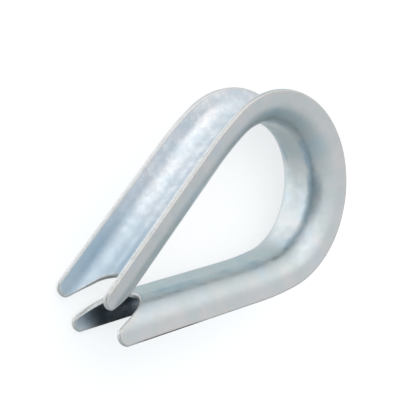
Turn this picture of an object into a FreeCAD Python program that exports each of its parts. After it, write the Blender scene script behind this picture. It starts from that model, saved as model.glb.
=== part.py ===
"""Thimble eye for wire rope: one strip of sheet steel, rolled to an open channel and bent to a teardrop.

Frame: the origin is the centre of the crown's eye arc, midway between the two rims.
+Z runs along the axis of the eye, +X from the ears to the crown, and the two legs lie at +Y and -Y.

The channel is drawn as a quarter (one leg, one flange), swept along the eye line and mirrored twice.
Each end of the strip is a flat-pattern outline, a notch between two ears.  It is wrapped round the
channel's section, so that every cut face stands square to the sheet, as a blanked edge does.
All lengths are millimetres and all angles are degrees.
"""
import FreeCAD, Part

import math
import os

import Sketcher

Vector = FreeCAD.Vector

DRIVING_SIZES = (
    ("EyeRadius", 10.0, "eye surface round the crown"),
    ("InsideLength", 37.2, "crown's eye surface to the root of the notches"),
    ("WebGap", 2.4, "between the legs' eye surfaces at the root of the notches"),
    ("EaseRadius", 46.0, "gentle arc from the crown into each leg, on the eye surface"),
    ("EaseAngle", 8.5, "span of that gentle arc"),
    ("SheetThickness", 0.8, "sheet"),
    ("WebFlat", 2.7, "flat width of the web, along the eye's axis"),
    ("BendRadius", 3.2, "groove side of the bend from the web to a flange"),
    ("FlareAngle", 10.0, "lean of each flange away from the groove"),
    ("FlangeStraight", 1.75, "flat height of each flange, from the bend to the rim"),
    ("RimRounding", 0.25, "rounding of both corners of the rim"),
    ("NotchDepth", 6.7, "ear tips to the root of the notch, along the leg"),
    ("NotchRadius", 4.2, "root of the notch, in the flat blank"),
    ("EarInset", 1.7, "rim to the notch side of the ear's tip, across the flat blank"),
    ("EarTipRadius", 0.8, "notch side of the ear's tip, in the flat blank"),
    ("EarCornerRadius", 1.55, "rim side of the ear's tip, in the flat blank"),
    ("CornerRunout", 0.1, "how far past the rim that corner's arc would reach"),
    ("TrimAllowance", 1.0, "length swept past the ear tips before they are trimmed"),
    ("CutterMargin", 0.3, "how far the end trim stands clear of both faces of the sheet"),
    ("OutlineStep", 0.3, "spacing of the points carried from the flat outline to the channel"),
)

START, END, CENTRE = 1, 2, 3          # a sketch element's points
ORIGIN_POINT = (-1, START)
X_AXIS = -1
Y_AXIS = -2


# ---------------------------------------------------------------- sizes and sketches

def make_sizes(doc):
    """Put the driving sizes in the sheet, one row each: name, value, meaning."""
    sheet = doc.addObject("Spreadsheet::Sheet", "Sizes")
    for row, (name, value, meaning) in enumerate(DRIVING_SIZES, start=1):
        sheet.set(f"A{row}", name)
        sheet.set(f"B{row}", str(value))
        sheet.set(f"C{row}", meaning)
        sheet.setAlias(f"B{row}", name)
    doc.recompute()
    return sheet


def attached_sketch(body, name, role):
    """A sketch on one of the body's own origin planes."""
    plane = next(part for part in body.Origin.OriginFeatures if part.Role == role)
    sketch = body.newObject("Sketcher::SketchObject", name)
    sketch.AttachmentSupport = [(plane, "")]
    sketch.MapMode = "FlatFace"
    return sketch


def constrain(sketch, kind, *what):
    """Add one geometric constraint."""
    sketch.addConstraint(Sketcher.Constraint(kind, *what))


def dimension(sketch, name, formula, kind, *what):
    """Add one dimension and bind it to the sheet."""
    index = sketch.addConstraint(Sketcher.Constraint(kind, *what))
    sketch.renameConstraint(index, name)
    sketch.setExpression(f"Constraints.{name}", formula)


def arc(centre, radius, start_angle, end_angle):
    """An arc in a sketch, counter-clockwise, angles in radians."""
    return Part.ArcOfCircle(Part.Circle(centre, Vector(0, 0, 1), radius), start_angle, end_angle)


def turned(angle):
    """Unit vector at an angle in radians from the sketch's X axis."""
    return Vector(math.cos(angle), math.sin(angle), 0)


# ---------------------------------------------------------------- the eye line

def leg_half_angle(sizes):
    """Lean of each leg's straight run, in radians, so that it ends at the root of its notch."""
    ease = math.radians(sizes.EaseAngle)
    reach = sizes.EaseRadius * (1 - math.cos(ease)) + sizes.EyeRadius * math.cos(ease)
    root = Vector(sizes.EyeRadius - sizes.InsideLength, sizes.WebGap / 2, 0)
    return math.atan2(root.y, root.x) - math.pi / 2 - math.acos(reach / root.Length)


def draw_spine(body, sizes):
    """Half the eye line: crown arc, easing arc and straight leg, on the eye surface."""
    lean = leg_half_angle(sizes)
    ease = math.radians(sizes.EaseAngle)
    crown_end = math.pi / 2 + lean - ease
    leg_normal = turned(crown_end + ease)
    leg_direction = turned(crown_end + ease + math.pi / 2)
    ease_centre = turned(crown_end) * (sizes.EyeRadius - sizes.EaseRadius)
    leg_start = ease_centre + leg_normal * sizes.EaseRadius
    root = Vector(sizes.EyeRadius - sizes.InsideLength, sizes.WebGap / 2, 0)
    leg_end = root + leg_direction * (sizes.NotchDepth + sizes.TrimAllowance)

    sketch = attached_sketch(body, "Spine", "XY_Plane")
    crown = sketch.addGeometry(arc(Vector(), sizes.EyeRadius, 0, crown_end))
    easing = sketch.addGeometry(arc(ease_centre, sizes.EaseRadius, crown_end, crown_end + ease))
    leg = sketch.addGeometry(Part.LineSegment(leg_start, leg_end))
    notch_root = sketch.addGeometry(Part.Point(root))

    constrain(sketch, "Coincident", crown, CENTRE, *ORIGIN_POINT)
    constrain(sketch, "PointOnObject", crown, START, X_AXIS)
    constrain(sketch, "Tangent", crown, END, easing, START)
    constrain(sketch, "Tangent", easing, END, leg, START)
    constrain(sketch, "PointOnObject", notch_root, START, leg)
    dimension(sketch, "CrownRadius", "Sizes.EyeRadius", "Radius", crown, sizes.EyeRadius)
    dimension(sketch, "EasingRadius", "Sizes.EaseRadius", "Radius", easing, sizes.EaseRadius)
    dimension(sketch, "EasingSpan", "Sizes.EaseAngle", "Angle", easing, ease)
    dimension(sketch, "RootReach", "Sizes.InsideLength - Sizes.EyeRadius",
              "DistanceX", notch_root, START, *ORIGIN_POINT, -root.x)
    dimension(sketch, "RootGap", "Sizes.WebGap / 2",
              "DistanceY", *ORIGIN_POINT, notch_root, START, root.y)
    dimension(sketch, "EarRun", "Sizes.NotchDepth + Sizes.TrimAllowance",
              "Distance", notch_root, START, leg, END, sizes.NotchDepth + sizes.TrimAllowance)
    return sketch


# ---------------------------------------------------------------- the channel

def draw_section(body, sizes):
    """Half the channel's section at the crown: web, bend, flange and rounded rim."""
    flare = math.radians(sizes.FlareAngle)
    along = turned(flare)                        # up the flange
    outward = turned(flare + math.pi / 2)        # from the groove to the outside
    inner_radius = sizes.BendRadius
    outer_radius = sizes.BendRadius + sizes.SheetThickness
    rounding = sizes.RimRounding
    web_face = sizes.EyeRadius
    floor_face = sizes.EyeRadius + sizes.SheetThickness
    half_web = sizes.WebFlat / 2
    bend = Vector(web_face + outer_radius, half_web, 0)
    flat_run = along * (sizes.FlangeStraight - rounding)
    outer_foot = bend + outward * outer_radius
    inner_foot = bend + outward * inner_radius
    outer_top = outer_foot + flat_run
    inner_top = inner_foot + flat_run
    outer_corner = outer_top - outward * rounding
    inner_corner = inner_top + outward * rounding
    bend_end = flare + math.pi / 2

    sketch = attached_sketch(body, "Section", "XZ_Plane")
    web = sketch.addGeometry(Part.LineSegment(Vector(web_face, 0, 0), Vector(web_face, half_web, 0)))
    outer_bend = sketch.addGeometry(arc(bend, outer_radius, bend_end, math.pi))
    outer_face = sketch.addGeometry(Part.LineSegment(outer_foot, outer_top))
    outer_round = sketch.addGeometry(arc(outer_corner, rounding, flare, bend_end))
    rim_start, rim_end = outer_corner + along * rounding, inner_corner + along * rounding
    rim = sketch.addGeometry(Part.LineSegment(rim_start, rim_end))
    inner_round = sketch.addGeometry(arc(inner_corner, rounding, flare - math.pi / 2, flare))
    inner_face = sketch.addGeometry(Part.LineSegment(inner_top, inner_foot))
    inner_bend = sketch.addGeometry(arc(bend, inner_radius, bend_end, math.pi))
    floor = sketch.addGeometry(Part.LineSegment(Vector(floor_face, half_web, 0), Vector(floor_face, 0, 0)))
    middle = sketch.addGeometry(Part.LineSegment(Vector(floor_face, 0, 0), Vector(web_face, 0, 0)))

    constrain(sketch, "Vertical", web)
    constrain(sketch, "Vertical", floor)
    constrain(sketch, "Horizontal", middle)
    constrain(sketch, "PointOnObject", web, START, X_AXIS)
    constrain(sketch, "Coincident", middle, END, web, START)
    constrain(sketch, "Coincident", floor, END, middle, START)
    constrain(sketch, "Coincident", inner_bend, CENTRE, outer_bend, CENTRE)
    constrain(sketch, "Tangent", web, END, outer_bend, END)
    constrain(sketch, "Tangent", outer_bend, START, outer_face, START)
    constrain(sketch, "Tangent", outer_face, END, outer_round, END)
    constrain(sketch, "Tangent", outer_round, START, rim, START)
    constrain(sketch, "Tangent", rim, END, inner_round, END)
    constrain(sketch, "Tangent", inner_round, START, inner_face, START)
    constrain(sketch, "Tangent", inner_face, END, inner_bend, START)
    constrain(sketch, "Tangent", inner_bend, END, floor, START)
    constrain(sketch, "Parallel", outer_face, inner_face)
    constrain(sketch, "Perpendicular", outer_face, rim)
    constrain(sketch, "Equal", outer_round, inner_round)
    dimension(sketch, "WebPlace", "Sizes.EyeRadius", "DistanceX", *ORIGIN_POINT, web, START, web_face)
    dimension(sketch, "HalfWeb", "Sizes.WebFlat / 2", "DistanceY", web, START, web, END, half_web)
    dimension(sketch, "Sheet", "Sizes.SheetThickness",
              "DistanceX", middle, END, middle, START, sizes.SheetThickness)
    dimension(sketch, "InnerBend", "Sizes.BendRadius", "Radius", inner_bend, inner_radius)
    dimension(sketch, "Flare", "Sizes.FlareAngle", "Angle", outer_face, flare)
    dimension(sketch, "RimRound", "Sizes.RimRounding", "Radius", outer_round, rounding)
    dimension(sketch, "FlangeRun", "Sizes.FlangeStraight - Sizes.RimRounding",
              "Distance", outer_face, START, outer_face, END, flat_run.Length)
    return sketch


def mirrored(body, name, role):
    """Mirror the whole body in one of its origin planes."""
    plane = next(part for part in body.Origin.OriginFeatures if part.Role == role)
    feature = body.newObject("PartDesign::Mirrored", name)
    feature.TransformMode = "Whole shape"
    feature.MirrorPlane = (plane, [""])
    feature.Refine = True
    body.Tip = feature
    return feature


def make_channel(doc, sizes):
    """The bent channel, full width all the way, before its ends are trimmed."""
    body = doc.addObject("PartDesign::Body", "Channel")
    spine = draw_spine(body, sizes)
    section = draw_section(body, sizes)
    doc.recompute()
    sweep = body.newObject("PartDesign::AdditivePipe", "QuarterSweep")
    sweep.Profile = section
    sweep.Spine = (spine, ["Edge1", "Edge2", "Edge3"])
    doc.recompute()
    mirrored(body, "BothFlanges", "XY_Plane")
    doc.recompute()
    mirrored(body, "BothLegs", "XZ_Plane")
    doc.recompute()
    return body, spine


# ---------------------------------------------------------------- the trimmed ends

def half_blank(sizes):
    """Half the width of the flat strip, along the middle of the sheet."""
    bend = (sizes.BendRadius + sizes.SheetThickness / 2) * math.radians(90 - sizes.FlareAngle)
    return sizes.WebFlat / 2 + bend + sizes.FlangeStraight


def draw_end_outline(doc, sizes):
    """Half of the flat strip's end: X across from its centre line, Y along it, 0 at the ear's tip."""
    notch_centre = Vector(0, sizes.NotchRadius - sizes.NotchDepth, 0)
    tip_centre = Vector(half_blank(sizes) - sizes.EarInset, -sizes.EarTipRadius, 0)
    corner_x = half_blank(sizes) + sizes.CornerRunout - sizes.EarCornerRadius
    corner_centre = Vector(corner_x, -sizes.EarCornerRadius, 0)
    between = tip_centre - notch_centre
    both_radii = sizes.NotchRadius + sizes.EarTipRadius
    flank = math.atan2(between.y, between.x) + math.asin(both_radii / between.Length)
    across_flank = turned(flank + math.pi / 2)
    flank_foot = notch_centre - across_flank * sizes.NotchRadius
    flank_top = tip_centre + across_flank * sizes.EarTipRadius

    sketch = doc.addObject("Sketcher::SketchObject", "EndOutline")
    root = sketch.addGeometry(arc(notch_centre, sizes.NotchRadius, -math.pi / 2, flank - math.pi / 2))
    side = sketch.addGeometry(Part.LineSegment(flank_foot, flank_top))
    tip = sketch.addGeometry(arc(tip_centre, sizes.EarTipRadius, math.pi / 2, flank + math.pi / 2))
    front = sketch.addGeometry(Part.LineSegment(Vector(tip_centre.x, 0, 0), Vector(corner_x, 0, 0)))
    corner = sketch.addGeometry(arc(corner_centre, sizes.EarCornerRadius, 0, math.pi / 2))

    constrain(sketch, "PointOnObject", root, CENTRE, Y_AXIS)
    constrain(sketch, "PointOnObject", root, START, Y_AXIS)
    constrain(sketch, "Tangent", root, END, side, START)
    constrain(sketch, "Tangent", side, END, tip, END)
    constrain(sketch, "Tangent", tip, START, front, START)
    constrain(sketch, "Tangent", front, END, corner, END)
    constrain(sketch, "PointOnObject", front, START, X_AXIS)
    constrain(sketch, "Horizontal", front)
    constrain(sketch, "Horizontal", corner, CENTRE, corner, START)
    half_width = (
        "(Sizes.WebFlat / 2 + Sizes.FlangeStraight"
        " + (Sizes.BendRadius + Sizes.SheetThickness / 2) * pi / 180 * (90 - Sizes.FlareAngle))"
    )
    dimension(sketch, "Depth", "Sizes.NotchDepth",
              "DistanceY", root, START, *ORIGIN_POINT, sizes.NotchDepth)
    dimension(sketch, "RootRadius", "Sizes.NotchRadius", "Radius", root, sizes.NotchRadius)
    dimension(sketch, "TipRadius", "Sizes.EarTipRadius", "Radius", tip, sizes.EarTipRadius)
    dimension(sketch, "CornerRadius", "Sizes.EarCornerRadius", "Radius", corner, sizes.EarCornerRadius)
    dimension(sketch, "TipPlace", half_width + " - Sizes.EarInset",
              "DistanceX", *ORIGIN_POINT, tip, CENTRE, tip_centre.x)
    dimension(sketch, "Runout", half_width + " + Sizes.CornerRunout",
              "DistanceX", *ORIGIN_POINT, corner, START, corner_x + sizes.EarCornerRadius)
    return sketch


def on_section(sizes, across, depth):
    """Where a point of the flat strip lies on the section: height over the eye surface, and Z.

    across is measured round the middle of the sheet from the web's centre line, and depth from the
    middle of the sheet towards the groove.
    """
    flare = math.radians(sizes.FlareAngle)
    half_web = sizes.WebFlat / 2
    middle_radius = sizes.BendRadius + sizes.SheetThickness / 2
    bend_height = sizes.BendRadius + sizes.SheetThickness
    past_web = abs(across) - half_web
    if past_web <= 0:
        return sizes.SheetThickness / 2 + depth, across
    turn = min(past_web / middle_radius, math.pi / 2 - flare)
    up_flange = past_web - turn * middle_radius
    radius = middle_radius - depth
    height = bend_height - radius * math.cos(turn) + up_flange * math.cos(flare)
    side = half_web + radius * math.sin(turn) + up_flange * math.sin(flare)
    return height, math.copysign(side, across)


def wrapped_edge(sizes, leg, flat_points, depth):
    """The outline carried to the channel at one depth in the sheet, as one smooth edge."""
    start = leg.StartPoint
    along = (leg.EndPoint - start).normalize()
    upward = Vector(along.y, -along.x, 0)
    ear_tip = (leg.EndPoint - start).Length - sizes.TrimAllowance
    places = []
    for point in flat_points:
        height, side = on_section(sizes, point.x, depth)
        places.append(start + along * (ear_tip + point.y) + upward * height + Vector(0, 0, side))
    curve = Part.BSplineCurve()
    curve.interpolate(Points=places, Parameters=[float(index) for index in range(len(places))])
    return curve.toShape()


def make_end_trim(doc, sizes, spine, outline):
    """The solid that leaves the notch and the two ears when it is cut from the +Y leg."""
    leg = spine.Geometry[2]
    half = outline.Shape.Wires[0].discretize(Distance=sizes.OutlineStep)
    if half[0].x > half[-1].x:
        half.reverse()
    other_half = [Vector(-point.x, point.y, 0) for point in reversed(half[1:])]
    flat_points = other_half + half
    clear = sizes.SheetThickness / 2 + sizes.CutterMargin
    eye_side = wrapped_edge(sizes, leg, flat_points, -clear)
    groove_side = wrapped_edge(sizes, leg, flat_points, clear)
    cut_face = Part.makeRuledSurface(eye_side, groove_side)
    along = (leg.EndPoint - leg.StartPoint).normalize()
    trim = doc.addObject("Part::Feature", "EndTrim")
    trim.Shape = cut_face.extrude(along * (sizes.NotchDepth + 2 * sizes.TrimAllowance))
    return trim


def cut_ends(doc, channel, trim):
    """Trim the +Y leg, then the -Y leg with the same trim mirrored."""
    other_trim = doc.addObject("Part::Mirroring", "OtherEndTrim")
    other_trim.Source = trim
    other_trim.Normal = Vector(0, 1, 0)
    one_end = doc.addObject("Part::Cut", "OneEndCut")
    one_end.Base = channel
    one_end.Tool = trim
    both_ends = doc.addObject("Part::Cut", "BothEndsCut")
    both_ends.Base = one_end
    both_ends.Tool = other_trim
    both_ends.Refine = True
    both_ends.Label = "thimble"
    doc.recompute()
    return both_ends


# ---------------------------------------------------------------- checks and export

def check_document(doc, channel, thimble):
    """Stop if any feature failed or the ends were not cut."""
    for item in doc.Objects:
        if {"Invalid", "Error"} & set(item.State):
            raise RuntimeError(f"{item.Name} failed: {item.State}")
    if thimble.Shape.isNull() or not thimble.Shape.isValid():
        raise RuntimeError("the thimble's shape is not valid")
    if len(thimble.Shape.Solids) != 1:
        raise RuntimeError(f"the thimble has {len(thimble.Shape.Solids)} solids")
    if thimble.Shape.Volume >= channel.Shape.Volume:
        raise RuntimeError("the end trims cut nothing")


def export(subparts):
    """Write each sub-part to parts/NODE.step."""
    os.makedirs("parts", exist_ok=True)
    for part in subparts:
        part.Shape.exportStep(os.path.join("parts", part.Label + ".step"))


def main():
    """Build the thimble, check it and write it."""
    doc = FreeCAD.newDocument("ThimbleEye")
    sizes = make_sizes(doc)
    channel, spine = make_channel(doc, sizes)
    outline = draw_end_outline(doc, sizes)
    doc.recompute()
    trim = make_end_trim(doc, sizes, spine, outline)
    thimble = cut_ends(doc, channel, trim)
    check_document(doc, channel, thimble)
    export([thimble])
    box = thimble.Shape.optimalBoundingBox()
    print(f"thimble {box.XLength:.2f} x {box.YLength:.2f} x {box.ZLength:.2f} mm, "
          f"{thimble.Shape.Volume:.1f} mm3, {len(thimble.Shape.Faces)} faces")


main()
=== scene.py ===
"""Looks of the wire rope thimble: a zinc-plated strip, rolled to a channel and bent to a teardrop.

The strip is laid out flat, given its thickness and its rounded edges there, and then formed: every point
goes round the channel's section and along the eye line, as the real blank does between the tools.
Lengths are metres and angles are radians unless a name says otherwise.
"""

import logging
import math
from dataclasses import dataclass, field
from enum import Enum

import bmesh
import bpy
from mathutils import Matrix, Vector, kdtree, noise


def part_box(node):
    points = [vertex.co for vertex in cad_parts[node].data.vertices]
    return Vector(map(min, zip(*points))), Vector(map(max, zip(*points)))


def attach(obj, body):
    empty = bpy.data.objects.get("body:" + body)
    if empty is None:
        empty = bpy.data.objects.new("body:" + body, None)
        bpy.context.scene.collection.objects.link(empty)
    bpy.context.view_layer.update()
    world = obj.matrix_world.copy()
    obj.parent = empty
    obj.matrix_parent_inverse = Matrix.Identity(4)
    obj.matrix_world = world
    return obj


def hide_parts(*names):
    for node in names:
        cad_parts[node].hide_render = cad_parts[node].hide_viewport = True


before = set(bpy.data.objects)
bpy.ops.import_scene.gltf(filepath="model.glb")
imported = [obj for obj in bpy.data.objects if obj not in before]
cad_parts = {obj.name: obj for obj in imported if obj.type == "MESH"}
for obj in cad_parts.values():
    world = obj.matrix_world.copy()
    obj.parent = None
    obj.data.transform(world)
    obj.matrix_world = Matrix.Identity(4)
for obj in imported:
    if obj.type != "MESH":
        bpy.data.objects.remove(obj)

LOG = logging.getLogger("thimble")
MM = 0.001
TOUCHING = 0.001 * MM
FLAT_UNIT = 10.0 * MM
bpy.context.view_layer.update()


class StripMap(Enum):
    """Names of the data that the strip's mesh carries for its finish."""

    FLAT = "flat_strip"
    GROOVE_SIDE = "groove_side"
    EDGE = "edge_nearness"


class RiseShape(Enum):
    """How a mapped value goes from its start to its end."""

    SMOOTH = "SMOOTHSTEP"
    STRAIGHT = "LINEAR"


def polar(angle: float, radius: float = 1.0) -> Vector:
    """Return a plane vector of that length at an angle from +X."""
    return Vector((math.cos(angle), math.sin(angle), 0.0)) * radius


def smooth_step(value: float) -> float:
    """Return 0 below 0, 1 above 1, and a smooth rise between."""
    share = min(max(value, 0.0), 1.0)
    return share * share * (3.0 - 2.0 * share)


# ---------------------------------------------------------------- the thimble's shape


@dataclass(frozen=True)
class EyeLine:
    """The line that the strip's eye face follows: crown arc, easing arc and straight leg, twice.

    Args:
        eye_radius: Eye face round the crown.
        inside_length: Crown's eye face to the root of the notches.
        web_gap: Between the legs' eye faces at the root of the notches.
        ease_radius: Gentle arc between the crown and a leg.
        ease_angle: Span of that arc.
    """

    eye_radius: float = 10.0 * MM
    inside_length: float = 37.2 * MM
    web_gap: float = 2.4 * MM
    ease_radius: float = 46.0 * MM
    ease_angle: float = math.radians(8.5)

    @property
    def notch_root(self) -> Vector:
        """Return where the +Y leg's line passes the root of its notch."""
        return Vector((self.eye_radius - self.inside_length, self.web_gap / 2, 0.0))

    @property
    def crown_end(self) -> float:
        """Return the angle at which the crown arc passes into the easing arc."""
        eye_share = math.cos(self.ease_angle)
        reach = self.ease_radius * (1 - eye_share) + self.eye_radius * eye_share
        root = self.notch_root
        lean = math.atan2(root.y, root.x) - math.pi / 2 - math.acos(reach / root.length)
        return math.pi / 2 + lean - self.ease_angle

    @property
    def ease_centre(self) -> Vector:
        """Return the centre of the +Y easing arc."""
        return polar(self.crown_end, self.eye_radius - self.ease_radius)

    @property
    def leg_start(self) -> float:
        """Return the length along the line at which the straight leg starts."""
        return self.eye_radius * self.crown_end + self.ease_radius * self.ease_angle

    @property
    def root_station(self) -> float:
        """Return the length along the line at the root of the notch."""
        start, _ = self.place(self.leg_start)
        return self.leg_start + (self.notch_root - start).length

    def place(self, along: float) -> tuple[Vector, Vector]:
        """Find a point of the line.

        Args:
            along: Length along the line from the crown's middle, negative down the -Y leg.

        Returns:
            The point and the unit normal that points out of the eye.
        """
        station = abs(along)
        crown_length = self.eye_radius * self.crown_end
        if station <= crown_length:
            normal = polar(station / self.eye_radius)
            point = normal * self.eye_radius
        else:
            past = min(station, self.leg_start) - crown_length
            angle = self.crown_end + past / self.ease_radius
            normal = polar(angle)
            point = self.ease_centre + normal * self.ease_radius
            point += polar(angle + math.pi / 2, max(station - self.leg_start, 0.0))
        side = math.copysign(1.0, along)
        return Vector((point.x, side * point.y, 0.0)), Vector((normal.x, side * normal.y, 0.0))


@dataclass(frozen=True)
class ChannelSection:
    """The section that the flat strip is rolled to: web, two bends and two flared flanges.

    Args:
        thickness: Sheet.
        web_flat: Flat width of the web.
        bend_radius: Groove side of each bend.
        flare: Lean of each flange away from the groove.
        flange_straight: Flat height of each flange.
    """

    thickness: float = 0.8 * MM
    web_flat: float = 2.7 * MM
    bend_radius: float = 3.2 * MM
    flare: float = math.radians(10.0)
    flange_straight: float = 1.75 * MM

    @property
    def middle_radius(self) -> float:
        """Return the bend's radius at the middle of the sheet."""
        return self.bend_radius + self.thickness / 2

    @property
    def bend_end(self) -> float:
        """Return where the bend passes into the flange, across the flat strip."""
        return self.web_flat / 2 + self.middle_radius * (math.pi / 2 - self.flare)

    @property
    def half_strip(self) -> float:
        """Return half the flat strip's width."""
        return self.bend_end + self.flange_straight

    @property
    def rim_height(self) -> float:
        """Return the rims' height over the eye face."""
        turned = self.bend_radius + self.thickness - self.middle_radius * math.sin(self.flare)
        return turned + self.flange_straight * math.cos(self.flare)

    def flange_share(self, across: float) -> float:
        """Return 0 on the web and 1 at the rim, rising smoothly round the bend."""
        return smooth_step((abs(across) - self.web_flat / 2) / (self.half_strip - self.web_flat / 2))

    def place(self, across: float, depth: float) -> tuple[float, float]:
        """Roll one point of the flat strip.

        Args:
            across: From the strip's centre line, at the middle of the sheet.
            depth: From the middle of the sheet towards the groove.

        Returns:
            Height over the eye face's line, and place along the eye's axis.
        """
        past_web = abs(across) - self.web_flat / 2
        if past_web <= 0:
            return self.thickness / 2 + depth, across
        turn = min(past_web / self.middle_radius, math.pi / 2 - self.flare)
        up_flange = past_web - turn * self.middle_radius
        radius = self.middle_radius - depth
        bend_height = self.bend_radius + self.thickness
        height = bend_height - radius * math.cos(turn) + up_flange * math.cos(self.flare)
        side = self.web_flat / 2 + radius * math.sin(turn) + up_flange * math.sin(self.flare)
        return height, math.copysign(side, across)


@dataclass(frozen=True)
class EndOutline:
    """The blanked end of the flat strip: a round notch between two ears.

    Args:
        half_strip: Half the strip's width.
        notch_depth: Ear tips to the root of the notch.
        notch_radius: Root of the notch.
        ear_inset: Rim to the middle of the ear's notch-side tip arc.
        tip_radius: Notch side of the ear's tip.
        corner_radius: Rim side of the ear's tip.
        corner_runout: How far past the rim that corner's arc would reach.
    """

    half_strip: float
    notch_depth: float = 6.7 * MM
    notch_radius: float = 4.2 * MM
    ear_inset: float = 1.7 * MM
    tip_radius: float = 0.8 * MM
    corner_radius: float = 1.55 * MM
    corner_runout: float = 0.1 * MM

    @property
    def tip_centre(self) -> float:
        """Return the middle of the ear's notch-side tip arc, across the strip."""
        return self.half_strip - self.ear_inset

    @property
    def corner_centre(self) -> float:
        """Return the middle of the ear's rim-side arc, across the strip."""
        return self.half_strip + self.corner_runout - self.corner_radius

    @property
    def flank(self) -> float:
        """Return the slope of the straight side between the notch's root and the ear's tip."""
        rise = self.notch_depth - self.notch_radius - self.tip_radius
        between = Vector((self.tip_centre, rise))
        return math.atan2(rise, self.tip_centre) + math.asin(
            (self.notch_radius + self.tip_radius) / between.length
        )

    def edge(self, across: float) -> tuple[float, Vector]:
        """Find the blanked edge at one place across the strip.

        Args:
            across: From the centre line, not negative.

        Returns:
            Place along the strip, 0 at the ears' tips and negative towards the crown, and the edge's
            unit normal in the flat, pointing off the strip.
        """
        root_centre = self.notch_radius - self.notch_depth
        foot = self.notch_radius * math.sin(self.flank)
        top = self.tip_centre - self.tip_radius * math.sin(self.flank)
        if across <= foot:
            drop = math.sqrt(self.notch_radius**2 - across**2)
            return root_centre - drop, Vector((-across, drop, 0.0)).normalized()
        if across <= top:
            start = root_centre - self.notch_radius * math.cos(self.flank)
            return start + (across - foot) * math.tan(self.flank), polar(self.flank + math.pi / 2)
        if across <= self.tip_centre:
            rise = math.sqrt(self.tip_radius**2 - (across - self.tip_centre) ** 2)
            return rise - self.tip_radius, Vector((across - self.tip_centre, rise, 0.0)).normalized()
        if across <= self.corner_centre:
            return 0.0, Vector((0.0, 1.0, 0.0))
        rise = math.sqrt(self.corner_radius**2 - (across - self.corner_centre) ** 2)
        return rise - self.corner_radius, Vector((across - self.corner_centre, rise, 0.0)).normalized()


@dataclass(frozen=True)
class FormingMarks:
    """What the bending leaves on the strip: shallow ripples on the crown's flanges and an uneven skin.

    Args:
        ripple_depth: Deepest ripple at the rim.
        ripple_length: From one ripple to the next along the crown.
        crown_length: Half the stretch that ripples.
        sway: Slow unevenness of the whole sheet.
        sway_size: Size of one swell of that unevenness.
    """

    ripple_depth: float = 0.024 * MM
    ripple_length: float = 4.6 * MM
    crown_length: float = 17.0 * MM
    sway: float = 0.006 * MM
    sway_size: float = 9.0 * MM

    def push(self, across: float, along: float, flange: float) -> float:
        """Find how far the sheet is pushed towards the groove.

        Args:
            across: Place across the flat strip.
            along: Place along the flat strip.
            flange: 0 on the web, 1 at the rim.

        Returns:
            The push, never negative, so that the sheet stays within its own outline.
        """
        fade = smooth_step(1.0 - abs(along) / self.crown_length)
        phase = noise.noise(Vector((across, along, 0.0)) / self.ripple_length)
        wave = math.sin(math.tau * along / self.ripple_length + math.pi * phase)
        ripple = self.ripple_depth * fade * (0.5 + 0.5 * wave)
        swell = self.sway * (0.5 + 0.5 * noise.noise(Vector((across, along, 1.0)) / self.sway_size))
        return (ripple + swell) * flange


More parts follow.
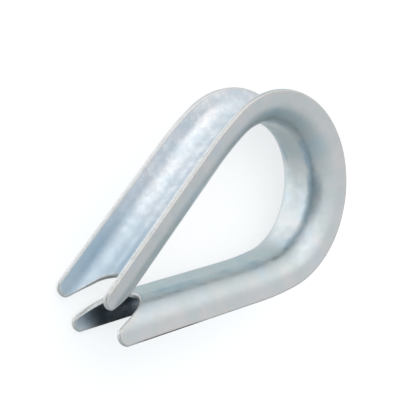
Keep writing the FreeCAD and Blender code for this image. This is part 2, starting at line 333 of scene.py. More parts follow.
@dataclass
class StripBlank:
    """The flat blank, as a mesh: X across the strip, Y along it, Z from its middle to the groove face.

    Args:
        section: The channel that the strip will be rolled to.
        outline: The blanked end.
        half_length: Crown's middle to the ears' tips.
        rim_round: Rounding of both corners of the rims.
        cut_round: Rounding of both corners of the blanked ends.
        end_zone: Stretch at each end over which the cross rows turn to follow the outline.
        columns_web: Cells from the centre line to the bend.
        columns_bend: Cells round the bend.
        columns_flange: Cells from the bend to the rim.
        rows_plain: Cells from the crown's middle to the end zone.
        rows_end: Cells along the end zone.
        round_steps: Cells round each rounded corner.
    """

    section: ChannelSection
    outline: EndOutline
    half_length: float
    rim_round: float = 0.25 * MM
    cut_round: float = 0.16 * MM
    end_zone: float = 12.0 * MM
    columns_web: int = 5
    columns_bend: int = 26
    columns_flange: int = 13
    rows_plain: int = 128
    rows_end: int = 44
    round_steps: int = 4

    @property
    def columns(self) -> int:
        """Return the cells from the centre line to the rim."""
        return self.columns_web + self.columns_bend + self.columns_flange

    @property
    def rows(self) -> int:
        """Return the cells from the crown's middle to the blanked end."""
        return self.rows_plain + self.rows_end

    def across_at(self, column: int, last: float) -> float:
        """Find a column's place across the strip.

        Args:
            column: Counted from the centre line.
            last: Where the last column lies.

        Returns:
            Its distance from the centre line.
        """
        web, bend_end = self.section.web_flat / 2, self.section.bend_end
        if column <= self.columns_web:
            return web * column / self.columns_web
        past = column - self.columns_web
        if past <= self.columns_bend:
            return web + (bend_end - web) * past / self.columns_bend
        return bend_end + (last - bend_end) * (past - self.columns_bend) / self.columns_flange

    def cut_normal(self, column: int) -> Vector:
        """Return the blanked end's flat normal at a column, scaled to the corner's rounding there."""
        across = self.across_at(column, self.section.half_strip)
        _, cut = self.outline.edge(across)
        if column == self.columns:
            mitre = cut + Vector((1.0, 0.0, 0.0))
            return mitre * self.rim_round / mitre.x
        corner_centre = self.outline.corner_centre
        corner = smooth_step((across - corner_centre) / (self.section.half_strip - corner_centre))
        return cut * (self.cut_round + (self.rim_round - self.cut_round) * corner)

    def lay_out(self, column: int, row: int) -> tuple[Vector, Vector | None]:
        """Place one grid point on the flat strip's groove face, inside its rounded edge.

        Args:
            column: Column from the centre line.
            row: Row from the crown's middle.

        Returns:
            The point, and for a boundary point its scaled edge normal.
        """
        half_strip = self.section.half_strip
        across = self.across_at(column, half_strip)
        along, _ = self.outline.edge(across)
        cut_normal = self.cut_normal(column)
        end = Vector((across, self.half_length + along, 0.0)) - cut_normal
        zone_start = self.half_length - self.end_zone
        start = Vector((self.across_at(column, half_strip - self.rim_round), zone_start, 0.0))
        if row <= self.rows_plain:
            point = Vector((start.x, zone_start * row / self.rows_plain, 0.0))
        else:
            point = start.lerp(end, (row - self.rows_plain) / self.rows_end)
        point.z = self.section.thickness / 2
        if row == self.rows:
            return point, cut_normal
        return point, Vector((self.rim_round, 0.0, 0.0)) if column == self.columns else None

    def quarter_face(self) -> bmesh.types.BMesh:
        """Return a quarter of the groove face, with each boundary point's scaled normal in a layer."""
        mesh = bmesh.new()
        outward = mesh.verts.layers.float_vector.new("outward")
        bmesh.ops.create_grid(mesh, x_segments=self.columns, y_segments=self.rows, size=0.5)
        for vert in mesh.verts:
            column, row = round((vert.co.x + 0.5) * self.columns), round((vert.co.y + 0.5) * self.rows)
            vert.co, normal = self.lay_out(column, row)
            vert[outward] = normal or Vector()
        return mesh

    def round_edge(self, mesh: bmesh.types.BMesh) -> None:
        """Roll the boundary over the corner and carry it down to the middle of the sheet.

        Args:
            mesh: The quarter face.
        """
        outward = mesh.verts.layers.float_vector["outward"]
        ring = [e for e in mesh.edges if e.is_boundary and all(v[outward].length > 0 for v in e.verts)]
        for step in range(self.round_steps + 1):
            before = math.pi / 2 * step / self.round_steps
            after = math.pi / 2 * (step + 1) / self.round_steps
            made = bmesh.ops.extrude_edge_only(mesh, edges=ring)["geom"]
            ring = [item for item in made if isinstance(item, bmesh.types.BMEdge)]
            for vert in (item for item in made if isinstance(item, bmesh.types.BMVert)):
                if step < self.round_steps:
                    vert.co += vert[outward] * (math.sin(after) - math.sin(before))
                    vert.co.z -= vert[outward].length * (math.cos(before) - math.cos(after))
                else:
                    vert.co.z = 0.0

    def build(self) -> bmesh.types.BMesh:
        """Return the whole flat blank, closed all round."""
        mesh = self.quarter_face()
        self.round_edge(mesh)
        for axis in ("Z", "X", "Y"):
            everything = mesh.verts[:] + mesh.edges[:] + mesh.faces[:]
            bmesh.ops.mirror(mesh, geom=everything, matrix=Matrix(), merge_dist=TOUCHING, axis=axis)
        bmesh.ops.remove_doubles(mesh, verts=mesh.verts, dist=TOUCHING)
        return mesh


@dataclass
class ThimbleEye:
    """The whole thimble: the blank, formed round the section and the eye line, and its finish.

    Args:
        line: The eye line.
        section: The channel's section.
        marks: What the forming leaves.
        edge_reach: How far from an edge its wear shows.
    """

    line: EyeLine = field(default_factory=EyeLine)
    section: ChannelSection = field(default_factory=ChannelSection)
    marks: FormingMarks = field(default_factory=FormingMarks)
    edge_reach: float = 0.45 * MM

    def blank(self) -> StripBlank:
        """Return the flat blank that this thimble is formed from."""
        outline = EndOutline(half_strip=self.section.half_strip)
        return StripBlank(self.section, outline, self.line.root_station + outline.notch_depth)

    def mark_strip(self, mesh: bmesh.types.BMesh) -> None:
        """Write the flat strip's own coordinates and the edge wear into the mesh.

        Args:
            mesh: The flat blank.
        """
        flat = mesh.loops.layers.uv.new(StripMap.FLAT.value)
        groove = mesh.verts.layers.float.new(StripMap.GROOVE_SIDE.value)
        edge = mesh.verts.layers.float.new(StripMap.EDGE.value)
        rims = [v for v in mesh.verts if abs(v.co.z) < self.section.thickness / 2 - TOUCHING]
        tree = kdtree.KDTree(len(rims))
        for index, vert in enumerate(rims):
            tree.insert(Vector((vert.co.x, vert.co.y, 0.0)), index)
        tree.balance()
        for vert in mesh.verts:
            _, _, gap = tree.find(Vector((vert.co.x, vert.co.y, 0.0)))
            vert[groove] = 0.5 + vert.co.z / self.section.thickness
            vert[edge] = 1.0 - smooth_step(gap / self.edge_reach)
        for face in mesh.faces:
            for loop in face.loops:
                loop[flat].uv = Vector((loop.vert.co.x, loop.vert.co.y)) / FLAT_UNIT

    def form(self, mesh: bmesh.types.BMesh) -> None:
        """Roll the flat blank to the channel and bend it round the eye.

        Args:
            mesh: The flat blank.
        """
        for vert in mesh.verts:
            across, along, depth = vert.co
            push = self.marks.push(across, along, self.section.flange_share(across))
            height, side = self.section.place(across, depth + push)
            foot, outward = self.line.place(along)
            vert.co = foot + outward * height + Vector((0.0, 0.0, side))
        bmesh.ops.recalc_face_normals(mesh, faces=mesh.faces)

    def build(self, finish: "ZincPlate") -> bpy.types.Object:
        """Make the thimble and put it in place of its solid.

        Args:
            finish: The plating.

        Returns:
            The finished object.
        """
        mesh = self.blank().build()
        self.mark_strip(mesh)
        self.form(mesh)
        for face in mesh.faces:
            face.smooth = True
        data = bpy.data.meshes.new("thimble_shell")
        mesh.to_mesh(data)
        mesh.free()
        data.materials.append(finish.material())
        shell = bpy.data.objects.new("thimble_shell", data)
        bpy.context.scene.collection.objects.link(shell)
        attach(shell, "root")
        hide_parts("thimble")
        LOG.info("%s: %d faces, replaces the thimble's solid", shell.name, len(data.polygons))
        return shell


# ---------------------------------------------------------------- finishes


@dataclass(frozen=True)
class Clouds:
    """Soft noise of one kind.

    Args:
        size: Size of one patch, in the units of the coordinates.
        detail: How many finer layers it has.
        rough: How strong those layers are.
    """

    size: float
    detail: float
    rough: float


@dataclass(frozen=True)
class Rise:
    """How one value is turned into another over a stretch of it.

    Args:
        low: Where the stretch starts.
        high: Where it ends.
        start: What the value becomes at the start and below.
        end: What it becomes at the end and above.
        shape: How it goes from one to the other.
    """

    low: float
    high: float
    start: float = 0.0
    end: float = 1.0
    shape: RiseShape = RiseShape.SMOOTH


@dataclass
class NodeBench:
    """Short calls for laying out one node tree.

    Args:
        tree: The tree that is filled.
    """

    tree: bpy.types.NodeTree

    def add(self, kind: str, **settings: object) -> bpy.types.Node:
        """Add a node.

        Args:
            kind: The node's type name.
            settings: Its properties.

        Returns:
            The node.
        """
        node = self.tree.nodes.new(kind)
        for name, value in settings.items():
            setattr(node, name, value)
        return node

    def join(self, source: bpy.types.NodeSocket, target: bpy.types.NodeSocket) -> None:
        """Link one socket to another."""
        self.tree.links.new(source, target)

    def clouds(self, place: bpy.types.NodeSocket, kind: Clouds) -> bpy.types.NodeSocket:
        """Add soft noise.

        Args:
            place: The coordinates.
            kind: The noise's kind.

        Returns:
            The noise's value.
        """
        node = self.add("ShaderNodeTexNoise")
        node.inputs["Scale"].default_value = 1.0 / kind.size
        node.inputs["Detail"].default_value = kind.detail
        node.inputs["Roughness"].default_value = kind.rough
        self.join(place, node.inputs["Vector"])
        return node.outputs["Fac"]

    def ramp(
        self, share: bpy.types.NodeSocket, stops: tuple[tuple[float, tuple[float, float, float]], ...]
    ) -> bpy.types.NodeSocket:
        """Turn a share into a colour by way of several stops.

        Args:
            share: From 0 to 1.
            stops: Each stop's share and colour.

        Returns:
            The colour.
        """
        node = self.add("ShaderNodeValToRGB")
        elements = node.color_ramp.elements
        for _ in stops[2:]:
            elements.new(0.5)
        for element, (position, colour) in zip(elements, stops):
            element.position = position
            element.color = (*colour, 1.0)
        self.join(share, node.inputs["Fac"])
        return node.outputs["Color"]

    def spread(self, value: bpy.types.NodeSocket, rise: Rise) -> bpy.types.NodeSocket:
        """Map a value over a stretch of it.

        Args:
            value: The value.
            rise: The stretch, and what it becomes.

        Returns:
            The mapped value.
        """
        node = self.add("ShaderNodeMapRange", interpolation_type=rise.shape.value)
        ends = {"From Min": rise.low, "From Max": rise.high, "To Min": rise.start, "To Max": rise.end}
        for name, number in ends.items():
            node.inputs[name].default_value = number
        self.join(value, node.inputs["Value"])
        return node.outputs["Result"]

    def blend(self, share: bpy.types.NodeSocket, first: object, second: object) -> bpy.types.NodeSocket:
        """Mix two colours.

        Args:
            share: How much of the second shows.
            first: A colour or a colour socket.
            second: A colour or a colour socket.

        Returns:
            The mixed colour.
        """
        node = self.add("ShaderNodeMix", data_type="RGBA")
        self.join(share, node.inputs["Factor"])
        for name, colour in (("A", first), ("B", second)):
            socket = self.colour_socket(node.inputs, name)
            if isinstance(colour, bpy.types.NodeSocket):
                self.join(colour, socket)
            else:
                socket.default_value = (*colour, 1.0)
        return self.colour_socket(node.outputs, "Result")

    def colour_socket(self, sockets: bpy.types.bpy_prop_collection, name: str) -> bpy.types.NodeSocket:
        """Return the socket of that name that carries a colour."""
        return next(socket for socket in sockets if socket.name == name and socket.type == "RGBA")

    def compute(self, operation: str, first: object, second: object = 0.0) -> bpy.types.NodeSocket:
        """Work out one number from one or two.

        Args:
            operation: The arithmetic.
            first: A number or a socket.
            second: A number or a socket.

        Returns:
            The result.
        """
        node = self.add("ShaderNodeMath", operation=operation)
        for socket, value in zip(node.inputs, (first, second)):
            if isinstance(value, bpy.types.NodeSocket):
                self.join(value, socket)
            else:
                socket.default_value = value
        return node.outputs["Value"]

    def toward(self, looking: bpy.types.NodeSocket, direction: Vector) -> bpy.types.NodeSocket:
        """Find how far a direction agrees with another.

        Args:
            looking: The direction.
            direction: The other.

        Returns:
            1 where they are the same and -1 where they are opposite.
        """
        node = self.add("ShaderNodeVectorMath", operation="DOT_PRODUCT")
        self.join(looking, node.inputs[0])
        node.inputs[1].default_value = direction.normalized()
        return node.outputs["Value"]

    def map_axis(self, uv_map: str, axis: str) -> bpy.types.NodeSocket:
        """Return one coordinate of a UV map."""
        apart = self.add("ShaderNodeSeparateXYZ")
        self.join(self.add("ShaderNodeUVMap", uv_map=uv_map).outputs["UV"], apart.inputs["Vector"])
        return apart.outputs[axis]

    def strip_value(self, name: StripMap) -> bpy.types.NodeSocket:
        """Return one of the strip's own values."""
        return self.add("ShaderNodeAttribute", attribute_name=name.value).outputs["Fac"]


@dataclass(frozen=True)
class ZincPlate:
    """Blue-white zinc plating: cloudy, bluer and more mottled in the groove, rubbed and specked on the rims,
    with a painted dark reflection along each bend and painted shade towards the groove's ends.

    Sizes and places on the flat strip count FLAT_UNIT, as the strip's map does.

    Args:
        warm: Colour of the warmer streaks on the eye side.
        green: Colour of the grey-green streaks between them.
        haze: Colour of the bluish haze over both.
        groove_blue: Colour of the groove's blue patches.
        groove_lilac: Colour of its lilac patches.
        groove_pale: Colour of its rubbed patches.
        groove_end_shade: Darker blue colour that the groove nears towards the ears, painted shade where its
            highlight fades.
        bend_reflection_blue: Colour of the broken dark line along each bend, a painted reflection of the
            dark room where the sheet turns.
        edge_pale: Colour of rims and cut faces.
        speck: Colour of the rough specks on them.
        dull: Roughness, from the rubbed patches to the dullest.
        streak_stretch: Squeeze of the streaks' coordinates across the strip, which draws them out.
        streak_clouds: The streaks, on the flat strip.
        streak_rise: From green to warm.
        haze_clouds: The haze.
        haze_rise: How much of it shows.
        ragged_clouds: What frays the painted reflection along the bends.
        ragged_push: How far it frays.
        reflection_inside: Where the painted reflection starts, on the flat strip.
        reflection_outside: Where it ends.
        broken_clouds: What breaks the painted reflection.
        broken_rise: How much of it is left.
        hue_clouds: The groove's blue and lilac.
        hue_rise: From blue to lilac.
        rub_clouds: The groove's rubbed patches.
        rub_rise: How much of them shows.
        end_shade_rise: How the groove nears that painted shade, on the flat strip.
        side_rise: From the eye side to the groove side through the sheet.
        edge_share: How much of the pale edge shows at an edge.
        speck_clouds: The specks.
        speck_rise: How much of them shows.
        speck_dull: What a speck adds to the roughness.
        speck_pit: How deep a speck is, as a share of the swell.
        dull_clouds: The dull patches.
        grain_clouds: The fine grain.
        grain_share: Its height, as a share of the swell.
        swell_clouds: The swell under it.
        bump_strength: How strongly all of that turns the light.
        bump_height: Its height.
    """

    warm: tuple[float, float, float] = (0.675, 0.672, 0.66)
    green: tuple[float, float, float] = (0.61, 0.65, 0.64)
    haze: tuple[float, float, float] = (0.60, 0.66, 0.70)
    groove_blue: tuple[float, float, float] = (0.67, 0.73, 0.77)
    groove_lilac: tuple[float, float, float] = (0.74, 0.74, 0.77)
    groove_pale: tuple[float, float, float] = (0.92, 0.92, 0.92)
    groove_end_shade: tuple[float, float, float] = (0.52, 0.62, 0.69)
    bend_reflection_blue: tuple[float, float, float] = (0.38, 0.49, 0.56)
    edge_pale: tuple[float, float, float] = (0.70, 0.67, 0.63)
    speck: tuple[float, float, float] = (0.36, 0.34, 0.32)
    dull: Rise = Rise(0.35, 0.65, 0.30, 0.44)
    streak_stretch: float = 0.35
    streak_clouds: Clouds = Clouds(0.32, 4.0, 0.55)
    streak_rise: Rise = Rise(0.36, 0.64)
    haze_clouds: Clouds = Clouds(5.0 * MM, 3.0, 0.5)
    haze_rise: Rise = Rise(0.45, 0.70, 0.0, 0.8)
    ragged_clouds: Clouds = Clouds(1.2 * MM, 6.0, 0.65)
    ragged_push: float = 0.16
    reflection_inside: Rise = Rise(0.22, 0.29)
    reflection_outside: Rise = Rise(0.31, 0.40, 1.0, 0.0)
    broken_clouds: Clouds = Clouds(6.0 * MM, 2.0, 0.5)
    broken_rise: Rise = Rise(0.40, 0.60, 0.05, 0.70)
    hue_clouds: Clouds = Clouds(3.6 * MM, 5.0, 0.62)
    hue_rise: Rise = Rise(0.38, 0.62)
    rub_clouds: Clouds = Clouds(1.7 * MM, 6.0, 0.7)
    rub_rise: Rise = Rise(0.40, 0.66, 0.0, 0.8)
    end_shade_rise: Rise = Rise(2.8, 4.3, 0.0, 0.80)
    side_rise: Rise = Rise(0.4, 0.6)
    edge_share: float = 0.75
    speck_clouds: Clouds = Clouds(0.30 * MM, 3.0, 0.7)
    speck_rise: Rise = Rise(0.54, 0.70, 0.0, 0.60)
    speck_dull: float = 0.2
    speck_pit: float = 0.25
    dull_clouds: Clouds = Clouds(1.8 * MM, 5.0, 0.6)
    grain_clouds: Clouds = Clouds(0.16 * MM, 2.0, 0.6)
    grain_share: float = 0.10
    swell_clouds: Clouds = Clouds(1.1 * MM, 3.0, 0.55)
    bump_strength: float = 0.6
    bump_height: float = 0.06 * MM

    def streaks(self, bench: NodeBench) -> bpy.types.NodeSocket:
        """Return the colour of the streaks that the bending leaves across the strip."""
        flat = bench.add("ShaderNodeUVMap", uv_map=StripMap.FLAT.value).outputs["UV"]
        stretch = bench.add("ShaderNodeMapping")
        stretch.inputs["Scale"].default_value = (self.streak_stretch, 1.0, 1.0)
        bench.join(flat, stretch.inputs["Vector"])
        clouds = bench.clouds(stretch.outputs["Vector"], self.streak_clouds)
        return bench.blend(bench.spread(clouds, self.streak_rise), self.green, self.warm)

    def painted_bend_reflection(self, bench: NodeBench, place: bpy.types.NodeSocket) -> bpy.types.NodeSocket:
        """Find how much of the frayed, broken painted reflection along the bends shows.

        Args:
            bench: The material's nodes.
            place: Object coordinates.

        Returns:
            The painted reflection's mask.
        """
        across = bench.compute("ABSOLUTE", bench.map_axis(StripMap.FLAT.value, "X"))
        ragged = bench.compute("MULTIPLY", bench.clouds(place, self.ragged_clouds), self.ragged_push)
        frayed = bench.compute("ADD", across, ragged)
        inside = bench.spread(frayed, self.reflection_inside)
        outside = bench.spread(frayed, self.reflection_outside)
        broken = bench.spread(bench.clouds(place, self.broken_clouds), self.broken_rise)
        return bench.compute("MULTIPLY", bench.compute("MULTIPLY", inside, outside), broken)

    def eye_side(self, bench: NodeBench, place: bpy.types.NodeSocket) -> bpy.types.NodeSocket:
        """Lay the streaks, a thin haze over them and the painted dark reflection along the bends.

        Args:
            bench: The material's nodes.
            place: Object coordinates.

        Returns:
            The colour.
        """
        haze = bench.spread(bench.clouds(place, self.haze_clouds), self.haze_rise)
        hazed = bench.blend(haze, self.streaks(bench), self.haze)
        # Painted reflection: a dark blue line along each bend, standing in for the dark room that the bend
        # reflects.
        return bench.blend(self.painted_bend_reflection(bench, place), hazed, self.bend_reflection_blue)

    def groove_side(self, bench: NodeBench, place: bpy.types.NodeSocket) -> bpy.types.NodeSocket:
        """Lay the groove's blue, lilac and rubbed patches, and the painted shade that darkens it towards the
        ears.

        Args:
            bench: The material's nodes.
            place: Object coordinates.

        Returns:
            The colour.
        """
        hues = bench.spread(bench.clouds(place, self.hue_clouds), self.hue_rise)
        rubs = bench.spread(bench.clouds(place, self.rub_clouds), self.rub_rise)
        tinted = bench.blend(hues, self.groove_blue, self.groove_lilac)
        rubbed = bench.blend(rubs, tinted, self.groove_pale)
        along = bench.compute("ABSOLUTE", bench.map_axis(StripMap.FLAT.value, "Y"))
        # Painted shade: the groove turns darker and bluer towards the ears, where its highlight fades.
        return bench.blend(bench.spread(along, self.end_shade_rise), rubbed, self.groove_end_shade)

    def relief(
        self, bench: NodeBench, place: bpy.types.NodeSocket, specked: bpy.types.NodeSocket
    ) -> bpy.types.NodeSocket:
        """Raise the swell and grain of the plating, pitted by its specks.

        Args:
            bench: The material's nodes.
            place: Object coordinates.
            specked: How much of the specks shows.

        Returns:
            The bumped normal.
        """
        grain = bench.compute("MULTIPLY", bench.clouds(place, self.grain_clouds), self.grain_share)
        height = bench.compute("ADD", bench.clouds(place, self.swell_clouds), grain)
        pits = bench.compute("SUBTRACT", height, bench.compute("MULTIPLY", specked, self.speck_pit))
        bump = bench.add("ShaderNodeBump")
        bump.inputs["Strength"].default_value = self.bump_strength
        bump.inputs["Distance"].default_value = self.bump_height
        bench.join(pits, bump.inputs["Height"])
        return bump.outputs["Normal"]

    def material(self) -> bpy.types.Material:
        """Return the plating as a material."""
        made = bpy.data.materials.new("zinc_plated_steel")
        made.use_nodes = True
        bench = NodeBench(made.node_tree)
        surface = made.node_tree.nodes["Principled BSDF"]
        surface.inputs["Metallic"].default_value = 1.0
        place = bench.add("ShaderNodeTexCoord").outputs["Object"]
        edge = bench.strip_value(StripMap.EDGE)
        groove = bench.spread(bench.strip_value(StripMap.GROOVE_SIDE), self.side_rise)

        faces = bench.blend(groove, self.eye_side(bench, place), self.groove_side(bench, place))
        rubbed = bench.blend(bench.compute("MULTIPLY", edge, self.edge_share), faces, self.edge_pale)
        specks = bench.spread(bench.clouds(place, self.speck_clouds), self.speck_rise)
        specked = bench.compute("MULTIPLY", specks, edge)
        bench.join(bench.blend(specked, rubbed, self.speck), surface.inputs["Base Color"])

        dull = bench.spread(bench.clouds(place, self.dull_clouds), self.dull)
        duller = bench.compute("ADD", dull, bench.compute("MULTIPLY", specked, self.speck_dull))
        bench.join(duller, surface.inputs["Roughness"])
        bench.join(self.relief(bench, place, specked), surface.inputs["Normal"])
        return made


# ---------------------------------------------------------------- studio


@dataclass(frozen=True)
class PaleFloor:
    """A plain white studio floor, whose place in the metal's reflections the room takes.

    Args:
        colour: Its paint.
        roughness: The paint's.
        glow: Its own white light, which keeps it pale under the thimble.
        reach: From its middle to its sides.
    """

    colour: tuple[float, float, float] = (0.55, 0.55, 0.55)
    roughness: float = 0.9
    glow: float = 0.60
    reach: float = 1.5

    def build(self, height: float) -> bpy.types.Object:
        """Lay the floor.

        Args:
            height: Its place along +Z.

        Returns:
            The floor.
        """
        mesh = bmesh.new()
        bmesh.ops.create_grid(mesh, x_segments=1, y_segments=1, size=self.reach)
        bmesh.ops.translate(mesh, verts=mesh.verts, vec=(0.0, 0.0, height))
        data = bpy.data.meshes.new("studio_floor")
        mesh.to_mesh(data)
        mesh.free()
        paint = bpy.data.materials.new("white_floor")
        paint.use_nodes = True
        surface = paint.node_tree.nodes["Principled BSDF"]
        surface.inputs["Base Color"].default_value = (*self.colour, 1.0)
        surface.inputs["Roughness"].default_value = self.roughness
        surface.inputs["Emission Color"].default_value = (1.0, 1.0, 1.0, 1.0)
        surface.inputs["Emission Strength"].default_value = self.glow
        data.materials.append(paint)
        floor = bpy.data.objects.new("studio_floor", data)
        bpy.context.scene.collection.objects.link(floor)
        floor.visible_glossy = False
        LOG.info("%s: %.1f m across", floor.name, 2 * self.reach)
        return floor


@dataclass(frozen=True)
class ShadeCard:
    """A dark card that only the metal's reflections find.

    Args:
        name: What it is for.
        middle: Its middle.
        faces: Which way it faces.
        long_side: Direction of its long side.
        size: Its long and its short side.
        fade: Share of its length over which each end thins out.
        colour: Its dark colour, the painted shade.
        roughness: The cloth's.
    """

    name: str
    middle: Vector
    faces: Vector
    long_side: Vector
    size: tuple[float, float]
    fade: float = 0.26
    colour: tuple[float, float, float] = (0.02, 0.025, 0.03)
    roughness: float = 1.0

    def build(self) -> bpy.types.Object:
        """Return the card, hidden from the camera and casting no shadow."""
        normal = self.faces.normalized()
        along = self.long_side.normalized()
        turn = Matrix((along, normal.cross(along), normal)).transposed().to_4x4()
        stretch = Matrix.Diagonal((*self.size, 1.0, 1.0))
        mesh = bmesh.new()
        mesh.loops.layers.uv.new(self.name)
        place = turn @ stretch
        bmesh.ops.create_grid(mesh, x_segments=1, y_segments=1, size=0.5, matrix=place, calc_uvs=True)
        bmesh.ops.translate(mesh, verts=mesh.verts, vec=self.middle)
        data = bpy.data.meshes.new(self.name)
        mesh.to_mesh(data)
        mesh.free()
        cloth = bpy.data.materials.new(self.name + "_painted_shade")
        cloth.use_nodes = True
        surface = cloth.node_tree.nodes["Principled BSDF"]
        surface.inputs["Base Color"].default_value = (*self.colour, 1.0)
        surface.inputs["Roughness"].default_value = self.roughness
        bench = NodeBench(cloth.node_tree)
        run = bench.map_axis(self.name, "X")
        nearest_end = bench.compute("MINIMUM", run, bench.compute("SUBTRACT", 1.0, run))
        bench.join(bench.spread(nearest_end, Rise(0.0, self.fade)), surface.inputs["Alpha"])
        data.materials.append(cloth)
        card = bpy.data.objects.new(self.name, data)
        card.visible_camera = card.visible_diffuse = card.visible_shadow = False
        bpy.context.scene.collection.objects.link(card)
        LOG.info("%s: %.0f by %.0f mm", card.name, self.size[0] / MM, self.size[1] / MM)
        return card


@dataclass(frozen=True)
class BenchShadeCard:
    """The dark card that closes the lower leg's groove at its ears: painted shade standing in for the shaded
    bench that it stood on.

    Args:
        start: Its end beyond the notch's root, along the leg.
        finish: Its end towards the crown.
        width: Its width along the eye's axis.
        gap: Between it and the rims.
    """

    start: float = 5.2 * MM
    finish: float = -9.5 * MM
    width: float = 13.0 * MM
    gap: float = 0.4 * MM

    def build(self, line: EyeLine, rim_height: float) -> bpy.types.Object:
        """Put the card in place.

        Args:
            line: The thimble's eye line.
            rim_height: Height of the rims over the eye face.

        Returns:
            The card.
        """
        root = line.root_station
        outer, outward = line.place(-(root + self.start))
        inner, _ = line.place(-(root + self.finish))
        middle = (outer + inner) / 2 + outward * (rim_height + self.gap)
        run = inner - outer
        # Painted shade: a dark card where the shaded bench would close the groove, seen only in the metal's
        # reflections.
        return ShadeCard("under_leg_card", middle, -outward, run, (run.length, self.width)).build()


@dataclass(frozen=True)
class BenchFrame:
    """The directions of the bench that the thimble stood on, on its lower leg.

    Args:
        upright: Straight up from the bench.
        front: Level, towards the camera.
    """

    upright: tuple[float, float, float] = (0.341, 0.940, 0.0)
    front: tuple[float, float, float] = (-0.645, 0.234, 0.727)

    def way(self, azimuth: float, height: float) -> Vector:
        """Find a direction over the bench.

        Args:
            azimuth: Degrees from the front, positive to the camera's right.
            height: Degrees above the bench.

        Returns:
            The unit direction.
        """
        up, front = Vector(self.upright).normalized(), Vector(self.front).normalized()
        right = up.cross(front)
        turn, rise = math.radians(azimuth), math.radians(height)
        level = front * math.cos(turn) + right * math.sin(turn)
        return level * math.cos(rise) + up * math.sin(rise)


@dataclass(frozen=True)
class RoomPatch:
    """A soft round patch of the room that is lighter or darker than the rest.

    Args:
        azimuth: Degrees from the front, positive to the camera's right.
        height: Degrees above the bench.
        reach: Degrees from its middle to where it has faded.
        light: Its light.
    """

    azimuth: float
    height: float
    reach: float
    light: tuple[float, float, float]


@dataclass(frozen=True)
class SoftBox:
    """One large soft light.

    Args:
        name: What it is for.
        place: Where it stands.
        aim: What it points at.
        size: Its sides.
        power: Its watts.
    """

    name: str
    place: tuple[float, float, float]
    aim: tuple[float, float, float]
    size: tuple[float, float]
    power: float

    def build(self) -> bpy.types.Object:
        """Return the light, placed and turned."""
        data = bpy.data.lights.new(self.name, "AREA")
        data.shape = "RECTANGLE"
        data.size, data.size_y = self.size
        data.energy = self.power
        light = bpy.data.objects.new(self.name, data)
        light.location = self.place
        light.visible_camera = False
        light.rotation_mode = "QUATERNION"
        light.rotation_quaternion = (Vector(self.aim) - Vector(self.place)).to_track_quat("-Z", "Y")
        bpy.context.scene.collection.objects.link(light)
        LOG.info("%s: %.2f W", self.name, self.power)
        return light


@dataclass(frozen=True)
class ProductCamera:
    """The camera that looks at the thimble standing on its lower leg.

    Args:
        aim: The point that it looks at.
        distance: From that point.
        azimuth: Its direction from that point about +Z, from +X.
        elevation: Its height over the XY plane, as an angle.
        roll: Turn about its own line of sight, from +Z upright.
        lens: Focal length in millimetres.
        film: Width of its film in millimetres.
        nearest: Where its sight starts.
        farthest: Where its sight ends.
    """

    aim: tuple[float, float, float] = (-9.37 * MM, 1.90 * MM, -0.70 * MM)
    distance: float = 148.5 * MM
    azimuth: float = math.radians(143.9)
    elevation: float = math.radians(45.5)
    roll: float = math.radians(98.7)
    lens: float = 88.1
    film: float = 36.0
    nearest: float = 0.01
    farthest: float = 10.0

    def build(self) -> bpy.types.Object:
        """Return the camera, made the scene's own."""
        data = bpy.data.cameras.new("product_camera")
        data.lens = self.lens
        data.sensor_width = self.film
        data.clip_start = self.nearest
        data.clip_end = self.farthest
        camera = bpy.data.objects.new("product_camera", data)
        back = polar(self.azimuth, math.cos(self.elevation)) + Vector((0.0, 0.0, math.sin(self.elevation)))
        camera.location = Vector(self.aim) + back * self.distance
        upright = (-back).to_track_quat("-Z", "Y")
        camera.rotation_mode = "QUATERNION"
        camera.rotation_quaternion = Matrix.Rotation(self.roll, 3, back).to_quaternion() @ upright
        bpy.context.scene.collection.objects.link(camera)
        bpy.context.scene.camera = camera
        LOG.info("%s: %.1f mm lens", camera.name, self.lens)
        return camera


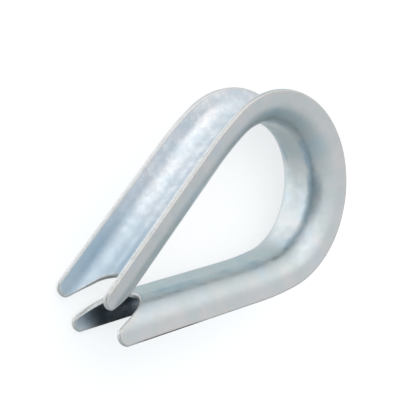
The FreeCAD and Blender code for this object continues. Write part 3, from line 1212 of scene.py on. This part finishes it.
@dataclass(frozen=True)
class Studio:
    """Pale surroundings, the soft light, the floor and the camera.

    Args:
        directions: The bench's.
        layers: Light of the room from straight below to straight above, as shares of the way up and colours.
        patches: What stands out from those layers.
        core: Share of a patch's reach over which it is at its full strength.
        card: The dark card under the lower leg, painted shade for the bench.
        floor: The floor.
        camera: The camera.
        light: The soft light.
    """

    directions: BenchFrame = field(default_factory=BenchFrame)
    layers: tuple[tuple[float, tuple[float, float, float]], ...] = (
        (0.02, (0.40, 0.48, 0.52)),
        (0.25, (0.62, 0.68, 0.71)),
        (0.45, (0.80, 0.85, 0.88)),
        (0.70, (0.90, 0.96, 1.00)),
        (1.00, (0.84, 0.91, 0.96)),
    )
    patches: tuple[RoomPatch, ...] = (
        RoomPatch(-40.0, 15.0, 48.0, (0.28, 0.34, 0.37)),
        RoomPatch(-118.0, 26.0, 56.0, (1.30, 1.36, 1.42)),
        RoomPatch(172.0, 26.0, 38.0, (0.62, 0.74, 0.78)),
        RoomPatch(82.0, -14.0, 40.0, (0.79, 0.79, 0.82)),
        RoomPatch(66.0, 32.0, 32.0, (1.26, 1.26, 1.26)),
        RoomPatch(128.0, -48.0, 34.0, (0.28, 0.40, 0.46)),
    )
    core: float = 0.25
    card: BenchShadeCard = field(default_factory=BenchShadeCard)
    floor: PaleFloor = field(default_factory=PaleFloor)
    camera: ProductCamera = field(default_factory=ProductCamera)
    light: SoftBox = SoftBox("top_softbox", (0.07, 0.46, 0.33), (0.0, 0.0, 0.0), (0.55, 0.50), 0.24)

    def room(self) -> bpy.types.World:
        """Return the room's light: its layers, with each patch laid over them."""
        world = bpy.data.worlds.new("pale_room")
        world.use_nodes = True
        bench = NodeBench(world.node_tree)
        looking = bench.add("ShaderNodeTexCoord").outputs["Generated"]
        height = bench.toward(looking, Vector(self.directions.upright))
        light = bench.ramp(bench.spread(height, Rise(-1.0, 1.0, shape=RiseShape.STRAIGHT)), self.layers)
        for patch in self.patches:
            near = bench.toward(looking, self.directions.way(patch.azimuth, patch.height))
            rim, middle = math.radians(patch.reach), math.radians(patch.reach * self.core)
            share = bench.spread(near, Rise(math.cos(rim), math.cos(middle)))
            light = bench.blend(share, light, patch.light)
        bench.join(light, world.node_tree.nodes["Background"].inputs["Color"])
        return world

    def build(self, thimble: ThimbleEye, floor_height: float) -> None:
        """Set up everything round the thimble.

        Args:
            thimble: What stands in the studio.
            floor_height: The floor's place along +Z.
        """
        bpy.context.scene.world = self.room()
        bpy.context.scene.view_settings.view_transform = "Standard"
        self.floor.build(floor_height)
        self.card.build(thimble.line, thimble.section.rim_height)
        self.light.build()
        self.camera.build()


def main() -> None:
    """Build the thimble, then the studio round it."""
    logging.basicConfig(level=logging.INFO, format="%(message)s")
    lowest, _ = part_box("thimble")
    thimble = ThimbleEye()
    thimble.build(ZincPlate())
    Studio().build(thimble, lowest.z)


if __name__ == "__main__":
    main()
